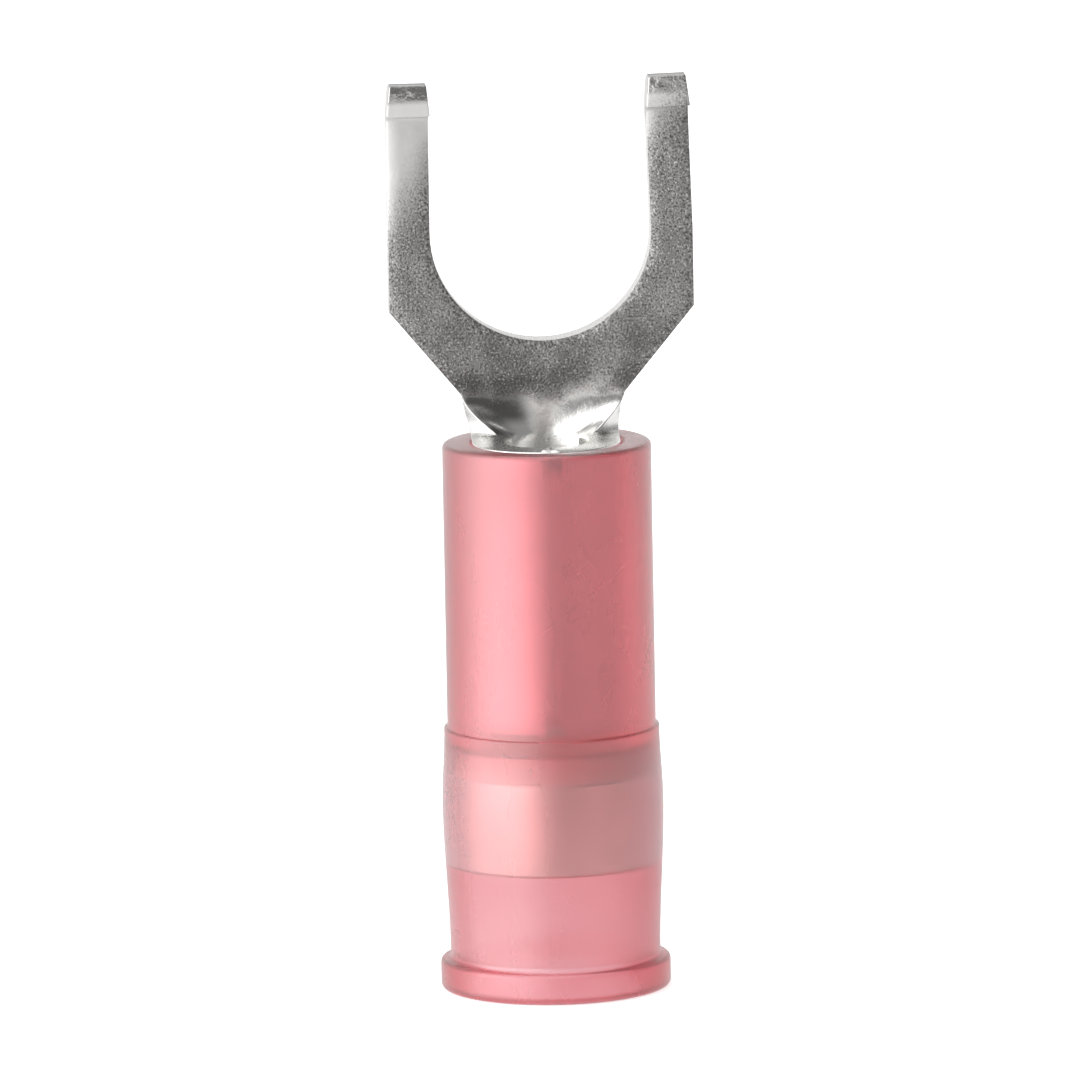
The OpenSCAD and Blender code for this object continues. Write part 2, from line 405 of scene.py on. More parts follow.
def scratch_group():
    """Fine straight handling scratches in two directions, as a mask from 0 to 1."""
    name = "Handling scratches"
    if name in bpy.data.node_groups:
        return bpy.data.node_groups[name]
    tree = bpy.data.node_groups.new(name, "ShaderNodeTree")
    given, out = group_interface(
        tree,
        [("Vector", "NodeSocketVector", None), ("Scale", "NodeSocketFloat", 1200.0)],
        [("Scratches", "NodeSocketFloat")],
    )
    masks = []
    for turn, stretch in SCRATCH_SETS:
        turned_by = add(tree, "ShaderNodeMapping", {"Vector": given["Vector"], "Rotation": (0.0, turn, 0.0)})
        drawn = add(tree, "ShaderNodeMapping", {"Vector": turned_by.outputs["Vector"], "Scale": stretch})
        lines = noise(tree, drawn.outputs["Vector"], given["Scale"], detail=2.0, roughness=0.7)
        off_middle = sums(tree, "SUBTRACT", lines, SCRATCH_MIDDLE)
        thin = sums(tree, "ABSOLUTE", off_middle, 0.0)
        masks.append(mapped(tree, thin, 0.0, SCRATCH_WIDTH, 1.0, 0.0))
    gate = noise(tree, given["Vector"], GATE_SCALE, detail=2.0)
    shown = mapped(tree, gate, *SCRATCH_GATE)
    both = sums(tree, "MAXIMUM", masks[0], masks[1])
    feed(tree, out["Scratches"], times(tree, both, shown))
    return tree


def place_group(tree, group, inputs):
    """Places a node group in a material, with its own values."""
    return add(tree, "ShaderNodeGroup", inputs, node_tree=group).outputs


def new_material(name):
    """An empty node material, and its tree, Principled shader and object coordinates."""
    material = bpy.data.materials.new(name)
    material.use_nodes = True
    tree = material.node_tree
    tree.nodes.clear()
    shader = tree.nodes.new("ShaderNodeBsdfPrincipled")
    out = tree.nodes.new("ShaderNodeOutputMaterial")
    tree.links.new(shader.outputs["BSDF"], out.inputs["Surface"])
    where = tree.nodes.new("ShaderNodeTexCoord").outputs["Object"]
    return material, tree, shader, where


def output_of(tree):
    """The material's output node."""
    return next(node for node in tree.nodes if node.bl_idname == "ShaderNodeOutputMaterial")


def bumped(tree, shader, layers):
    """Lays bumps over each other, each one a height and its depth in mm."""
    normal = None
    for height, depth in layers:
        bump = add(tree, "ShaderNodeBump", {"Height": height, "Distance": depth * MM, "Strength": 1.0})
        if normal is not None:
            tree.links.new(normal, bump.inputs["Normal"])
        normal = bump.outputs["Normal"]
    tree.links.new(normal, shader.inputs["Normal"])


# Places on the fork, in mm, where its finish and its painted light and shade start to change and where the
# change is full
HELD_Z = (MOUTH_Z + 0.1, MOUTH_Z - 0.3)
DULL_Z = (MOUTH_Z + 0.75, MOUTH_Z + 1.6)
DIRTY_Z = (MOUTH_Z + 3.4, MOUTH_Z + 2.0)
# Painted shade on the neck's left wall, across and up the neck
NECK_SHADE_X = (-0.1, -0.7)
NECK_SHADE_LOW_Z = (MOUTH_Z + 0.2, MOUTH_Z + 0.5)
NECK_SHADE_HIGH_Z = (MOUTH_Z + 1.6, MOUTH_Z + 1.2)
PAINTED_LIGHT_Z = (FORK_TOP_Z - 2.655, FORK_TOP_Z - 0.455)
# Heights of the tips' tops, which take painted shade, and of the cut walls below them, which take a painted
# highlight
TIP_TOP_Z = (FORK_TOP_Z - 1.355, FORK_TOP_Z - 0.955)
BARE_WALL_HIGHLIGHT_Z = TIP_TOP_Z[::-1]
TIP_END_Y = (0.62, 0.48)
TIP_END_Z = (FORK_TOP_Z - 1.255, FORK_TOP_Z - 1.055)
TIP_SHEAR_Z = (FORK_TOP_Z - 0.535, FORK_TOP_Z - 0.415)
# How far the clouds shift the dull tin and the painted light of the pale tin, in mm, and the middle line of a
# tine
CLOUD_SHIFT = 0.3
TINE_MIDDLE_X = 3.1
# Slant of the edge of the pale painted light over a tine and over the fork, and of a line through both tips
PALE_TINE_SLANT = -1.1
PALE_FORK_SLANT = -0.34
TIPS_SLANT = -0.0161
# Values of the grain where pits and glints start and are full, and the upward normal of a tip's top where its
# painted shade starts and is full
PIT_GRAIN = (0.50, 0.37)
GLINT_GRAIN = (0.55, 0.68)
GRAIN_SPREAD = (0.3, 0.7)
TOP_FACING = (0.45, 0.85)
# How much of a change shows where it is full
PIT_SHARE = 0.95
GLINT_SHARE = 0.5
DIRTY_SHARE = 0.35
DULL_STAIN = 0.25
LEAST_STAIN = 0.05
NECK_SHADE_SHARE = 0.8
TOP_SHADE_SHARE = 0.75
BARE_WALL_HIGHLIGHT_SHARE = 0.85
SHEARED_SHARE = 0.45
BROKEN_METALLIC = 0.35
# Roughness of the tin
BURNISHED_ROUGH = 0.14
DULL_ROUGH = 0.34
PALE_ROUGH = 0.46
CUT_WALL_ROUGH = 0.24
HELD_ROUGH = 0.36
SHEARED_ROUGH = 0.16
GRAIN_ROUGH = (-0.05, 0.10)
# Depth of the tin's marks, in mm, and how much of the grain is left where the tin is burnished
CLOUD_BUMP = 0.006
GRAIN_BUMP = 0.026
SHEAR_BUMP = 0.025
SCRATCH_BUMP = -0.002
BURNISHED_GRAIN = 0.12


def tin_material(looks):
    """Tin plated copper: burnished where it was rolled, dull and pitted where flat; painted light makes it
    paler near the tips, painted shade darkens the neck's left wall and the tips' tops, and the cut walls take
    a painted highlight.
    """
    material, tree, shader, where = new_material("tin_plate")
    at = split(tree, where)
    marks = place_group(tree, grain_group(), {"Vector": where, "Grain scale": 19000.0, "Cloud scale": 1100.0})
    lines = place_group(tree, scratch_group(), {"Vector": where, "Scale": 1500.0})

    # Dull and stained over the flat of the tongue, and painted light, paler aslant towards the tips
    wavy = scaled(tree, marks["Clouds"], CLOUD_SHIFT * MM, at["Z"])
    flat = rise(tree, wavy, DULL_Z)
    middle = times(tree, sums(tree, "SIGN", at["X"], 0.0), TINE_MIDDLE_X * MM)
    across = times(tree, sums(tree, "SUBTRACT", at["X"], middle), PALE_TINE_SLANT)
    leaning = scaled(tree, at["X"], PALE_FORK_SLANT, wavy)
    pale = rise(tree, sums(tree, "ADD", leaning, across), PAINTED_LIGHT_Z)
    dull = times(tree, flat, sums(tree, "SUBTRACT", 1.0, pale))
    pits = times(tree, mapped(tree, marks["Grain"], *PIT_GRAIN, 0.0, PIT_SHARE), dull)
    glints = times(tree, mapped(tree, marks["Grain"], *GLINT_GRAIN, 0.0, GLINT_SHARE), dull)
    ground = blended(tree, pale, blended(tree, flat, looks.tin_bright_and_highlight, looks.tin_dull_and_shade), looks.tin_painted_light)
    web = rise(tree, at["Z"], DIRTY_Z, DIRTY_SHARE)
    dirt = times(tree, dull, sums(tree, "ADD", web, DULL_STAIN))
    clouded = times(tree, marks["Clouds"], sums(tree, "ADD", dirt, LEAST_STAIN))
    stained = blended(tree, clouded, ground, looks.tin_dark_and_shade)

    # Painted shade on the left wall of the scooped neck
    neck = times(tree, rise(tree, at["Z"], NECK_SHADE_LOW_Z), rise(tree, at["Z"], NECK_SHADE_HIGH_Z))
    neck_shade = times(tree, rise(tree, at["X"], NECK_SHADE_X, NECK_SHADE_SHARE), neck)
    with_neck_shade = blended(tree, neck_shade, stained, looks.tin_dark_and_shade)
    pitted = blended(tree, pits, with_neck_shade, looks.tin_dark_and_shade)
    plain = blended(tree, glints, pitted, looks.tin_bright_and_highlight)

    # The cut ends of the turned tips, burnished above and broken below, and painted shade on their upward
    # facing tops
    level = scaled(tree, at["X"], TIPS_SLANT, at["Z"])
    on_tip = times(tree, rise(tree, at["Y"], TIP_END_Y), rise(tree, level, TIP_END_Z))
    sheared = times(tree, on_tip, rise(tree, level, TIP_SHEAR_Z))
    broken = sums(tree, "SUBTRACT", on_tip, sheared)
    normal = tree.nodes.new("ShaderNodeNewGeometry").outputs["Normal"]
    facing = split(tree, normal)["Z"]
    up = mapped(tree, facing, *TOP_FACING)
    top = times(tree, up, rise(tree, at["Z"], TIP_TOP_Z))
    with_top_shade = blended(tree, times(tree, top, TOP_SHADE_SHARE), plain, looks.tin_dull_and_shade)
    # Cut walls below the tips: bright bare metal, partly a painted highlight
    walls = add(tree, "ShaderNodeAttribute", attribute_name="cut_wall").outputs["Fac"]
    bare_wall_and_highlight = times(tree, walls, rise(tree, at["Z"], BARE_WALL_HIGHLIGHT_Z, BARE_WALL_HIGHLIGHT_SHARE))
    edged = blended(tree, bare_wall_and_highlight, with_top_shade, looks.tin_bright_and_highlight)
    cut = blended(tree, times(tree, sheared, SHEARED_SHARE), edged, looks.tin_dull_and_shade)
    feed(tree, shader.inputs["Base Color"], cut)
    feed(tree, shader.inputs["Metallic"], mapped(tree, broken, 0.0, 1.0, 1.0, BROKEN_METALLIC))

    rolled_rough = mapped(tree, flat, 0.0, 1.0, BURNISHED_ROUGH, DULL_ROUGH)
    bare_rough = between(tree, pale, rolled_rough, PALE_ROUGH)
    walled_rough = between(tree, bare_wall_and_highlight, bare_rough, CUT_WALL_ROUGH)
    held_rough = between(tree, rise(tree, at["Z"], HELD_Z), walled_rough, HELD_ROUGH)
    matte = between(tree, sheared, held_rough, SHEARED_ROUGH)
    uneven = mapped(tree, marks["Grain"], *GRAIN_SPREAD, *GRAIN_ROUGH, smooth=False)
    feed(tree, shader.inputs["Roughness"], sums(tree, "ADD", matte, uneven))
    grain_depth = mapped(tree, dull, 0.0, 1.0, BURNISHED_GRAIN, 1.0)
    bumped(tree, shader, [
        (marks["Clouds"], CLOUD_BUMP),
        (times(tree, marks["Grain"], grain_depth), GRAIN_BUMP),
        (times(tree, marks["Clouds"], sheared), SHEAR_BUMP),
        (times(tree, lines["Scratches"], flat), SCRATCH_BUMP),
    ])
    return material


# Finish of the support sleeve, and the painted light of its lip, with places and depths in mm
LIP_Z = (SLEEVE_TOP_Z - 0.67, SLEEVE_TOP_Z - 0.55)
SLEEVE_CLOUDS = 0.3
TUBE_ROUGH = (0.28, 0.36)
LIP_ROUGH = 0.55
LIP_METALLIC = 0.1
SLEEVE_BUMP = 0.0008


def sleeve_material(looks):
    """Drawn metal of the support sleeve, satin, with faint clouds, and a dull lip painted light and pink for
    the light that reaches it through the nylon.
    """
    material, tree, shader, where = new_material("sleeve_metal")
    marks = place_group(tree, grain_group(), {"Vector": where, "Grain scale": 9000.0, "Cloud scale": 700.0})
    height = split(tree, where)["Z"]
    lip = rise(tree, height, LIP_Z)
    clouded = times(tree, marks["Clouds"], SLEEVE_CLOUDS)
    tube = blended(tree, clouded, looks.sleeve_light, looks.sleeve_dark)
    tube_rough = mapped(tree, marks["Clouds"], 0.0, 1.0, *TUBE_ROUGH)
    # The lip's colour is painted light
    feed(tree, shader.inputs["Base Color"], blended(tree, lip, tube, looks.sleeve_lip_painted_light))
    feed(tree, shader.inputs["Metallic"], mapped(tree, lip, 0.0, 1.0, 1.0, LIP_METALLIC))
    feed(tree, shader.inputs["Roughness"], between(tree, lip, tube_rough, LIP_ROUGH))
    bumped(tree, shader, [(marks["Grain"], SLEEVE_BUMP)])
    return material


# Finish of the nylon, with places and depths in mm
SHOULDER_LOW_Z = (BARREL_END_Z - 0.58, BARREL_END_Z - 0.38)
SHOULDER_HIGH_Z = (BARREL_END_Z + 0.22, BARREL_END_Z - 0.08)
SHOULDER_SHARE = 0.3
FLANGE_Z = (1.0, 0.6)
COAT_Z = (SLEEVE_END_Z - 0.3, SLEEVE_END_Z + 0.2)
COAT_HIGH = 0.6
COAT_LOW = 0.4
COAT_ROUGH = 0.36
COAT_IOR = 1.8
NYLON_IOR = 1.53
NYLON_ROUGH = (0.25, 0.32)
NYLON_SCRATCH = 0.02
NYLON_CLOUD_BUMP = 0.004
NYLON_GRAIN_BUMP = 0.0006
STREAK_SHARE = 0.5
STREAK_STRETCH = (1.0, 1.0, 0.35)


def nylon_material(looks):
    """Pink tinted nylon, a little milky, with faint flow streaks along the moulding."""
    material, tree, shader, where = new_material("pink_nylon")
    drawn = add(tree, "ShaderNodeMapping", {"Vector": where, "Scale": STREAK_STRETCH})
    marks = place_group(tree, grain_group(), {
        "Vector": drawn.outputs["Vector"], "Grain scale": 5000.0, "Cloud scale": 420.0,
    })
    lines = place_group(tree, scratch_group(), {"Vector": where, "Scale": 700.0})
    height = split(tree, where)["Z"]
    above = rise(tree, height, SHOULDER_LOW_Z, SHOULDER_SHARE)
    shoulder = times(tree, above, rise(tree, height, SHOULDER_HIGH_Z))
    thick = sums(tree, "ADD", shoulder, rise(tree, height, FLANGE_Z))
    streaks = times(tree, marks["Clouds"], STREAK_SHARE)
    body = blended(tree, streaks, looks.nylon_light, looks.nylon_deep)
    clouded = mapped(tree, marks["Clouds"], 0.0, 1.0, *NYLON_ROUGH)
    feed(tree, shader.inputs["Base Color"], blended(tree, thick, body, looks.nylon_thick))
    feed(tree, shader.inputs["Coat Weight"], rise(tree, height, COAT_Z, COAT_HIGH, COAT_LOW))
    feed(tree, shader.inputs["Roughness"], scaled(tree, lines["Scratches"], NYLON_SCRATCH, clouded))
    shader.inputs["Coat Roughness"].default_value = COAT_ROUGH
    shader.inputs["Coat IOR"].default_value = COAT_IOR
    shader.inputs["IOR"].default_value = NYLON_IOR
    shader.inputs["Transmission Weight"].default_value = looks.nylon_clear
    bumped(tree, shader, [(marks["Clouds"], NYLON_CLOUD_BUMP), (marks["Grain"], NYLON_GRAIN_BUMP)])
    depth = add(tree, "ShaderNodeVolumeAbsorption", {
        "Color": (*looks.nylon_absorb, 1), "Density": looks.nylon_density,
    })
    feed(tree, output_of(tree).inputs["Volume"], depth.outputs["Volume"])
    return material


# The stamped fork

class Sheet:
    """A sheet with two faces, built from points that are placed on both faces at once."""

    def __init__(self):
        self.mesh = bmesh.new()
        self.cut_wall = self.mesh.faces.layers.float.new("cut_wall")
        self.points = []
        self.cells = []

    def point(self, inner, outer):
        """Adds a point of the sheet, given on its inner and outer face in mm, and returns its number."""
        self.points.append([self.mesh.verts.new(Vector(place) * MM) for place in (inner, outer)])
        return len(self.points) - 1

    def cell(self, *corners):
        """Adds a cell between points, given by their numbers."""
        self.cells.append(corners)

    def grid(self, rows):
        """Adds a cell between each two neighbours in neighbouring rows of point numbers."""
        for low, high in zip(rows, rows[1:]):
            for i in range(len(low) - 1):
                self.cell(low[i], low[i + 1], high[i + 1], high[i])

    def close(self):
        """Makes the faces of both sides, and the sheared walls round the boundary."""
        used = {}
        for cell in self.cells:
            self.mesh.faces.new([self.points[i][0] for i in cell])
            self.mesh.faces.new([self.points[i][1] for i in reversed(cell)])
            for a, b in zip(cell, cell[1:] + cell[:1]):
                used.setdefault(frozenset((a, b)), []).append((a, b))
        for sides in used.values():
            if len(sides) > 1:
                continue
            a, b = sides[0]
            near, far = self.points[a], self.points[b]
            wall = self.mesh.faces.new([far[0], near[0], near[1], far[1]])
            wall[self.cut_wall] = 1.0


def bent(s, along, out, bend, z):
    """A point of the rolled sheet, `along` from its middle line and `out` from its mid surface."""
    mid_y = s.wire_bore_d / 2 + s.sheet_t / 2
    if bend < FLAT:
        return (along, mid_y + out, z)
    r = 1 / bend
    a = along * bend
    return ((r + out) * math.sin(a), mid_y - r + (r + out) * math.cos(a), z)


def fork_mesh(s):
    """The fork as one sheet: barrel, neck, web and two tines with turned tips."""
    sheet = Sheet()
    half_t = s.sheet_t / 2
    face_y = s.wire_bore_d / 2
    barrel_r = face_y + s.sheet_t
    roll_r = face_y + half_t
    barrel_z = MOUTH_Z - s.barrel_l
    root_z = MOUTH_Z + s.neck_l
    slot_r = s.slot_w / 2
    slot_z = root_z + s.web_l + slot_r
    half_w = s.tongue_w / 2
    half_neck = s.neck_w / 2
    tine_w = half_w - slot_r

    def rolled(along, bend, z):
        return sheet.point(bent(s, along, -half_t, bend, z), bent(s, along, half_t, bend, z))

    # Middle band from the barrel's end to the root of the tongue
    stations = [(mix(barrel_z, MOUTH_Z, j / BARREL_ROWS), 0.0) for j in range(BARREL_ROWS)]
    stations += [(mix(MOUTH_Z, root_z, j / NECK_ROWS), j / NECK_ROWS) for j in range(NECK_ROWS + 1)]
    band = []
    for z, u in stations:
        bend = (1 - u) ** 2 / roll_r
        edge_x = mix(barrel_r, half_neck, u)
        half = edge_x if bend < FLAT else math.asin(min(1, edge_x / (1 / bend + half_t))) / bend
        band.append([rolled(mix(-half, half, i / ACROSS), bend, z) for i in range(ACROSS + 1)])
    sheet.grid(band)

    # Flaps that close the barrel up to the butted seam
    for side in (-1, 1):
        rows = []
        for j in range(BARREL_ROWS + 1):
            z = stations[j][0]
            root = band[j][-1 if side > 0 else 0]
            start = math.pi / 2 * roll_r
            end = math.pi * roll_r - SEAM_HALF_GAP
            row = [root]
            for i in range(1, FLAP_STEPS + 1):
                row.append(rolled(side * mix(start, end, i / FLAP_STEPS), 1 / roll_r, z))
            rows.append(row if side > 0 else row[::-1])
        sheet.grid(rows)

    def roll(inside):
        """How far the face is rolled back, at a distance inside the edge."""
        return s.roll_depth * max(0.0, 1 - inside / s.roll_width) ** 2

    # Web round the bottom of the slot, as rays from the slot's centre
    flank = Vector((s.flank_h, half_neck - half_w)).normalized()
    flank_z = root_z + s.flank_h

    def flat(x, z):
        inside = min(
            math.hypot(x, z - slot_z) - slot_r,
            half_w - abs(x),
            (half_neck - abs(x)) * flank.x + (root_z - z) * flank.y,
        )
        return sheet.point((x, face_y + roll(inside), z), (x, barrel_r, z))

    edge = [(-half_w, mix(slot_z, flank_z, i / SIDE_STEPS)) for i in range(SIDE_STEPS)]
    edge += [
        (mix(-half_w, -half_neck, i / FLANK_STEPS), mix(flank_z, root_z, i / FLANK_STEPS))
        for i in range(FLANK_STEPS)
    ]
    rays = [(place, None) for place in edge]
    for i, number in enumerate(band[-1]):
        rays.append(((mix(-half_neck, half_neck, i / ACROSS), root_z), number))
    rays += [((-x, z), None) for x, z in reversed(edge)]
    fan = []
    for (x, z), number in rays:
        away = Vector((x, z - slot_z)).normalized() * slot_r
        ray = [
            flat(mix(away.x, x, j / WEB_ROWS), mix(slot_z + away.y, z, j / WEB_ROWS))
            for j in range(WEB_ROWS)
        ]
        fan.append(ray + [flat(x, z) if number is None else number])
    sheet.grid([[fan[k][WEB_ROWS - j] for k in range(len(fan))] for j in range(WEB_ROWS + 1)])

    # Tines, leaning in about their roots, with the tips turned towards -Y
    tines = (
        (-1, s.left_lean, s.left_twist, 0.0, fan[0]),
        (1, s.right_lean, s.right_twist, s.right_extra_l, fan[-1]),
    )
    for side, lean, twist, extra, root in tines:
        middle = side * (slot_r + tine_w / 2)
        bend_z = slot_z + s.tine_l + extra - s.sheet_t - s.tip_bend_r

        def leaning(x, y, z):
            up = z - slot_z
            across = x * side
            risen = min(1.0, up / (bend_z - slot_z))
            y -= ease(risen) * x * math.tan(twist) + risen ** 2 * s.tine_bow
            return (
                middle + across * math.cos(lean) - side * up * math.sin(lean),
                y,
                slot_z + up * math.cos(lean) + side * across * math.sin(lean),
            )

        def tine_row(place, grown):
            row = []
            for j in range(WEB_ROWS + 1):
                q = 2 * j / WEB_ROWS - 1
                inset = TIP_INSET * grown
                face = mix(roll((1 - abs(q)) * tine_w / 2), inset, grown)
                inner = place(q * (tine_w / 2 - inset + s.tip_bulge_w * grown), face)
                outer = place(q * (tine_w / 2 - inset - s.tip_draw_w * grown), s.sheet_t - inset)
                row.append(sheet.point(leaning(*inner), leaning(*outer)))
            return row

        rows = [root]
        for j in range(1, TINE_ROWS + 1):
            z = mix(slot_z, bend_z, j / TINE_ROWS)
            rows.append(tine_row(lambda x, out: (x, face_y + out, z), 0))
        centre_y = face_y - s.tip_bend_r
        for j in range(1, BEND_ROWS + 1):
            turn = math.pi / 2 * j / BEND_ROWS
            rows.append(tine_row(lambda x, out: (
                x,
                centre_y + (s.tip_bend_r + out) * math.cos(turn),
                bend_z + (s.tip_bend_r + out) * math.sin(turn),
            ), j / BEND_ROWS))
        for j in range(1, REACH_ROWS + 1):
            y = centre_y - (s.tip_reach - s.tip_bend_r) * j / REACH_ROWS
            rows.append(tine_row(lambda x, out: (x, y, bend_z + s.tip_bend_r + out), 1))
        sheet.grid([row[::-1] for row in rows] if side < 0 else rows)

    sheet.close()
    round_edges(sheet.mesh, s, barrel_r)
    return sheet.mesh


def round_edges(mesh, s, barrel_r):
    """Rounds the sheared edges, and less the two that meet along the barrel's seam."""
    bmesh.ops.recalc_face_normals(mesh, faces=mesh.faces)
    mesh.normal_update()
    near_seam = 3 * SEAM_HALF_GAP * MM
    outside = (barrel_r - s.sheet_t / 3) * MM
    seam, sharp = [], []
    for edge in mesh.edges:
        if len(edge.link_faces) != 2 or edge.calc_face_angle() < SHARP_ANGLE:
            continue
        at_seam = all(abs(v.co.x) < near_seam and v.co.y < -outside for v in edge.verts)
        (seam if at_seam else sharp).append(edge)
    for edges, width in ((seam, s.seam_round), (sharp, s.edge_round)):
        edges = [e for e in edges if e.is_valid]
        bmesh.ops.bevel(
            mesh, geom=edges, offset=width * MM, offset_type="OFFSET", segments=BEVEL_SEGMENTS,
            profile=0.5, affect="EDGES", clamp_overlap=True,
        )
    bmesh.ops.recalc_face_normals(mesh, faces=mesh.faces)


class TERMINAL_OT_fork(bpy.types.Operator):
    """Make the stamped fork, in place of its CAD node"""

    bl_idname = "terminal.fork"
    bl_label = "Stamped fork"

    def execute(self, context):
        scene = context.scene
        built = fork_mesh(in_mm(scene.terminal_fork))
        mesh = bpy.data.meshes.new("fork_sheet")
        built.to_mesh(mesh)
        built.free()
        mesh.polygons.foreach_set("use_smooth", [True] * len(mesh.polygons))
        obj = new_object("fork_sheet", mesh)
        obj.data.materials.append(tin_material(scene.terminal_finish))
        even = obj.modifiers.new("Even shading", "WEIGHTED_NORMAL")
        even.weight = EVEN_WEIGHT
        apply_modifiers(obj)
        seat(obj, "fork_terminal")
        return {"FINISHED"}


# The lathe pieces

def lathe_tree():
    """Rounds the corners of a closed profile and turns it about the Z axis."""
    name = "Turned wall"
    if name in bpy.data.node_groups:
        return bpy.data.node_groups[name]
    tree = bpy.data.node_groups.new(name, "GeometryNodeTree")
    tree.is_modifier = True
    given, out = group_interface(
        tree,
        [
            ("Profile", "NodeSocketGeometry", None),
            ("Path radius", "NodeSocketFloat", 1.0),
            ("Segments", "NodeSocketInt", 64),
            ("Fillet steps", "NodeSocketInt", 4),
            ("Merge distance", "NodeSocketFloat", 0.0),
            ("Material", "NodeSocketMaterial", None),
        ],
        [("Geometry", "NodeSocketGeometry")],
    )
    corner = add(tree, "GeometryNodeInputNamedAttribute", {"Name": "fillet"}, data_type="FLOAT")
    curve = add(tree, "GeometryNodeMeshToCurve", {"Mesh": given["Profile"]})
    rounded = add(tree, "GeometryNodeFilletCurve", {
        "Curve": curve.outputs["Curve"], "Count": given["Fillet steps"],
        "Radius": corner.outputs["Attribute"], "Limit Radius": True,
    }, mode="POLY")
    path = add(tree, "GeometryNodeCurvePrimitiveCircle", {
        "Resolution": given["Segments"], "Radius": given["Path radius"],
    }, mode="RADIUS")
    wall = add(tree, "GeometryNodeCurveToMesh", {
        "Curve": path.outputs["Curve"], "Profile Curve": rounded.outputs["Curve"],
    })
    merged = add(tree, "GeometryNodeMergeByDistance", {
        "Geometry": wall.outputs["Mesh"], "Distance": given["Merge distance"],
    })
    smooth = add(tree, "GeometryNodeSetShadeSmooth", {"Geometry": merged.outputs["Geometry"]})
    real = add(tree, "GeometryNodeRealizeInstances", {"Geometry": smooth.outputs["Geometry"]})
    painted = add(tree, "GeometryNodeSetMaterial", {
        "Geometry": real.outputs["Geometry"], "Material": given["Material"],
    })
    tree.links.new(painted.outputs["Geometry"], out["Geometry"])
    return tree


def turned(name, profile, material):
    """A piece turned from (radius, height, fillet) corners in mm, as a plain mesh."""
    mesh = bpy.data.meshes.new(name)
    count = len(profile)
    # Curve to Mesh lays the profile's X outwards from the path and its Y downwards
    mesh.from_pydata(
        [(r * MM - PATH_RADIUS, -z * MM, 0.0) for r, z, _ in profile],
        [(i, (i + 1) % count) for i in range(count)], [],
    )
    fillet = mesh.attributes.new("fillet", "FLOAT", "POINT")
    fillet.data.foreach_set("value", [f * MM for _, _, f in profile])
    obj = new_object(name, mesh)
    tree = lathe_tree()
    lathe = obj.modifiers.new("Lathe", "NODES")
    lathe.node_group = tree
    values = {
        "Path radius": PATH_RADIUS, "Segments": TURN_SEGMENTS, "Fillet steps": FILLET_STEPS,
        "Merge distance": MERGE_DISTANCE, "Material": material,
    }
    for item in tree.interface.items_tree:
        if item.item_type == "SOCKET" and item.in_out == "INPUT" and item.name in values:
            lathe[item.identifier] = values[item.name]
    apply_modifiers(obj)
    if not obj.data.polygons:
        raise RuntimeError(f"{name} came out with no faces")
    work = bmesh.new()
    work.from_mesh(obj.data)
    bmesh.ops.recalc_face_normals(work, faces=work.faces)
    if work.calc_volume(signed=True) < 0:
        bmesh.ops.reverse_faces(work, faces=work.faces)
    work.to_mesh(obj.data)
    work.free()
    return obj


def swell(r0, z0, r1, z1):
    """Points of a wall that swells softly from one radius to another."""
    steps = SWELL_STEPS
    return [(mix(r0, r1, ease(i / steps)), mix(z0, z1, i / steps), 0.0) for i in range(steps + 1)]


class TERMINAL_OT_sleeve(bpy.types.Operator):
    """Make the drawn support sleeve with its tapered lip, in place of its CAD node"""

    bl_idname = "terminal.sleeve"
    bl_label = "Support sleeve"

    def execute(self, context):
        scene = context.scene
        s = in_mm(scene.terminal_sleeve)
        lip_z = SLEEVE_END_Z + s.straight_l
        bore_r = s.bore_d / 2
        outer_r = bore_r + s.wall
        tilt = math.atan2(s.lip_taper, s.lip_h)
        lip_end = outer_r - s.lip_taper
        dent = s.crease_h / 2
        profile = [
            (bore_r, SLEEVE_END_Z, s.edge_round), (outer_r, SLEEVE_END_Z, s.edge_round),
            (outer_r, lip_z - dent, dent / 2), (outer_r - s.crease_depth, lip_z, dent / 2),
            (outer_r - dent * math.tan(tilt), lip_z + dent, dent / 2),
            (lip_end, lip_z + s.lip_h, s.edge_round),
            (lip_end - s.wall / math.cos(tilt), lip_z + s.lip_h, s.edge_round),
            (bore_r, lip_z - s.wall * math.tan(tilt / 2), s.wall),
        ]
        obj = turned("support_tube", profile, sleeve_material(scene.terminal_finish))
        seat(obj, "support_sleeve")
        return {"FINISHED"}


